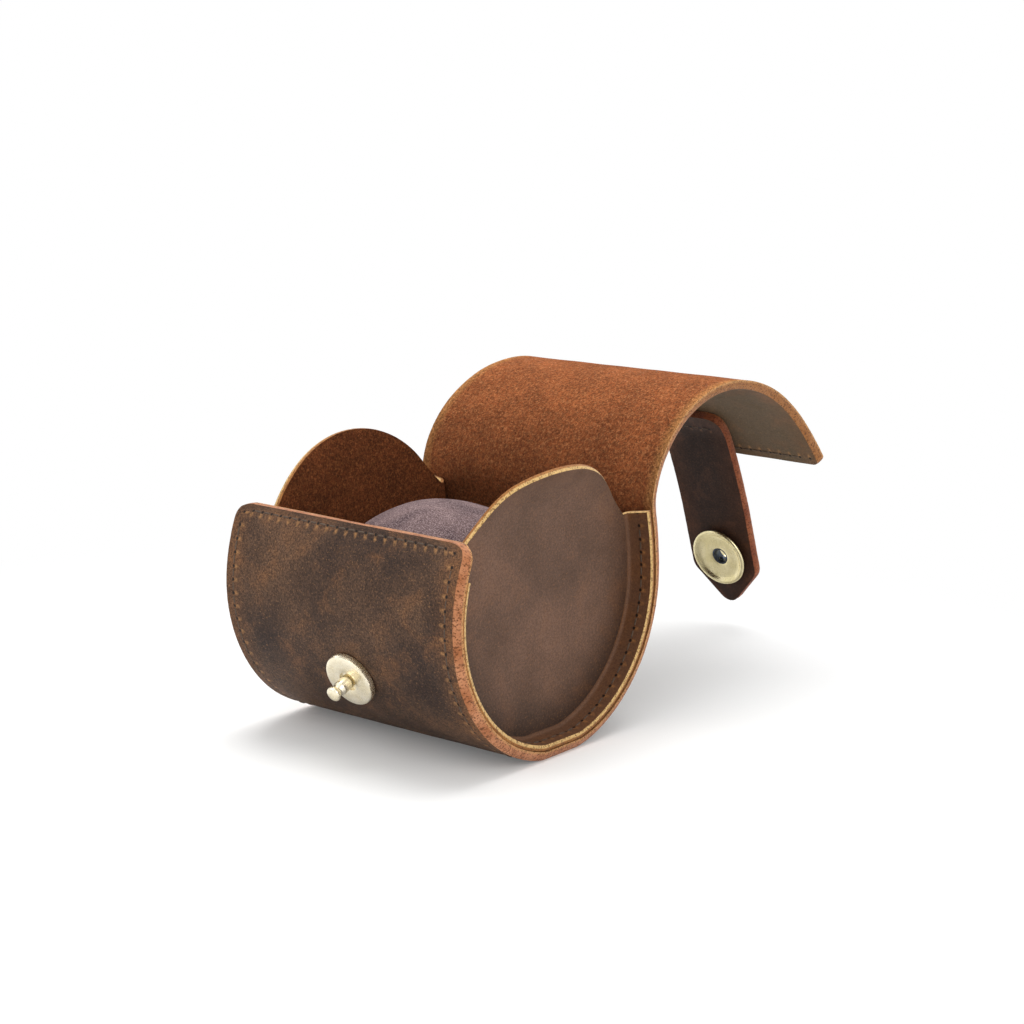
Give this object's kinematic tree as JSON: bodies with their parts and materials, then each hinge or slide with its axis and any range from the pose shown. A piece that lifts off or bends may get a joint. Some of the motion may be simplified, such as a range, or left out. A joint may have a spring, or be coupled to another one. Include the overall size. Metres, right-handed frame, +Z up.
{
  "type": "watch travel case",
  "caption": "Leather roll that holds a watch on a soft pillow, with a flap lid and a strap whose pull-to-open knob locks on a stud.",
  "frame": {"origin": "middle of the small flat that the roll stands on, right under the axis of the roll", "axes": "+X along the roll to the right seen from the front, +Y to the back where the open lid hangs, +Z up"},
  "size_m": [0.0794, 0.1704, 0.0846],
  "materials": {
    "wrap_leather": "satin",
    "cap_leather": "satin",
    "pale_brass": "polished",
    "strap_leather": "satin",
    "ball_steel": "polished",
    "pillow_suede": "matte",
    "foam": "matte"
  },
  "bodies": {
    "case": {"body_wrap": "wrap_leather", "left_end_cap": "cap_leather", "right_end_cap": "cap_leather", "stud_plate": "pale_brass", "stud_pin": "pale_brass", "stud_nut": "pale_brass"},
    "lid_1": {"lid_section_1": "wrap_leather"},
    "lid_2": {"lid_section_2": "wrap_leather"},
    "lid_3": {"lid_section_3": "wrap_leather"},
    "lid_4": {"lid_section_4": "wrap_leather"},
    "lid_5": {"lid_section_5": "wrap_leather"},
    "lid_6": {"lid_section_6": "wrap_leather"},
    "lid_7": {"lid_section_7": "wrap_leather"},
    "lid_8": {"lid_section_8": "wrap_leather"},
    "lid_9": {"lid_section_9": "wrap_leather", "strap_tab": "strap_leather"},
    "strap_1": {"strap_section_1": "strap_leather"},
    "strap_2": {"strap_section_2": "strap_leather"},
    "strap_end": {"strap_tip": "strap_leather", "lock_base": "pale_brass", "ball_tube": "pale_brass", "clamp_ring": "pale_brass", "lock_balls": "ball_steel", "lock_spring": "ball_steel"},
    "knob": {"knob": "pale_brass"},
    "pillow": {"pillow_cover": "pillow_suede", "pillow_foam": "foam"}
  },
  "joints": [
    {"name": "lid_fold", "type": "hinge", "parent": "case", "child": "lid_1", "pos_m": [0, 0.03684, 0.05686], "axis": [1, 0, 0], "range_deg": [0, 47.1]},
    {"name": "lid_bend_2", "type": "hinge", "parent": "lid_1", "child": "lid_2", "pos_m": [0, 0.04004, 0.06669], "axis": [1, 0, 0], "range_deg": [0, 46.25]},
    {"name": "lid_bend_3", "type": "hinge", "parent": "lid_2", "child": "lid_3", "pos_m": [0, 0.04648, 0.07479], "axis": [1, 0, 0], "range_deg": [0, 33.95]},
    {"name": "lid_bend_4", "type": "hinge", "parent": "lid_3", "child": "lid_4", "pos_m": [0, 0.05521, 0.08036], "axis": [1, 0, 0], "range_deg": [0, 26]},
    {"name": "lid_bend_5", "type": "hinge", "parent": "lid_4", "child": "lid_5", "pos_m": [0, 0.06521, 0.08308], "axis": [1, 0, 0], "range_deg": [0, 29.9]},
    {"name": "lid_bend_6", "type": "hinge", "parent": "lid_5", "child": "lid_6", "pos_m": [0, 0.07558, 0.08299], "axis": [1, 0, 0], "range_deg": [0, 27.75]},
    {"name": "lid_bend_7", "type": "hinge", "parent": "lid_6", "child": "lid_7", "pos_m": [0, 0.08562, 0.08035], "axis": [1, 0, 0], "range_deg": [0, 19.2]},
    {"name": "lid_bend_8", "type": "hinge", "parent": "lid_7", "child": "lid_8", "pos_m": [0, 0.0948, 0.07552], "axis": [1, 0, 0], "range_deg": [0, 23.25]},
    {"name": "lid_bend_9", "type": "hinge", "parent": "lid_8", "child": "lid_9", "pos_m": [0, 0.10285, 0.06895], "axis": [1, 0, 0], "range_deg": [0, 41.5]},
    {"name": "strap_swing", "type": "hinge", "parent": "lid_9", "child": "strap_1", "pos_m": [0, 0.10635, 0.06166], "axis": [1, 0, 0], "range_deg": [0, 14.05]},
    {"name": "strap_bend_2", "type": "hinge", "parent": "strap_1", "child": "strap_2", "pos_m": [0, 0.11177, 0.04919], "axis": [1, 0, 0], "range_deg": [0, 31.2]},
    {"name": "strap_bend_3", "type": "hinge", "parent": "strap_2", "child": "strap_end", "pos_m": [0, 0.11653, 0.03645], "axis": [1, 0, 0], "range_deg": [0, 24.7]},
    {"name": "knob_pull", "type": "slide", "parent": "strap_end", "child": "knob", "axis": [0, -0.9537, -0.3007], "range_m": [0, 0.0008], "stiffness_N_per_m": 2500},
    {"name": "pillow_lift", "type": "slide", "parent": "case", "child": "pillow", "axis": [0, 0, 1], "range_m": [0, 0.015]}
  ],
  "couplings": [
    {"joint": "lid_bend_2", "follows": "lid_fold", "ratio": 0.98155},
    {"joint": "lid_bend_3", "follows": "lid_fold", "ratio": 0.71966},
    {"joint": "lid_bend_4", "follows": "lid_fold", "ratio": 0.55172},
    {"joint": "lid_bend_5", "follows": "lid_fold", "ratio": 0.63428},
    {"joint": "lid_bend_6", "follows": "lid_fold", "ratio": 0.58877},
    {"joint": "lid_bend_7", "follows": "lid_fold", "ratio": 0.40643},
    {"joint": "lid_bend_8", "follows": "lid_fold", "ratio": 0.49337},
    {"joint": "lid_bend_9", "follows": "lid_fold", "ratio": 0.87983},
    {"joint": "strap_bend_2", "follows": "strap_swing", "ratio": 2.2166},
    {"joint": "strap_bend_3", "follows": "strap_swing", "ratio": 1.7552}
  ]
}
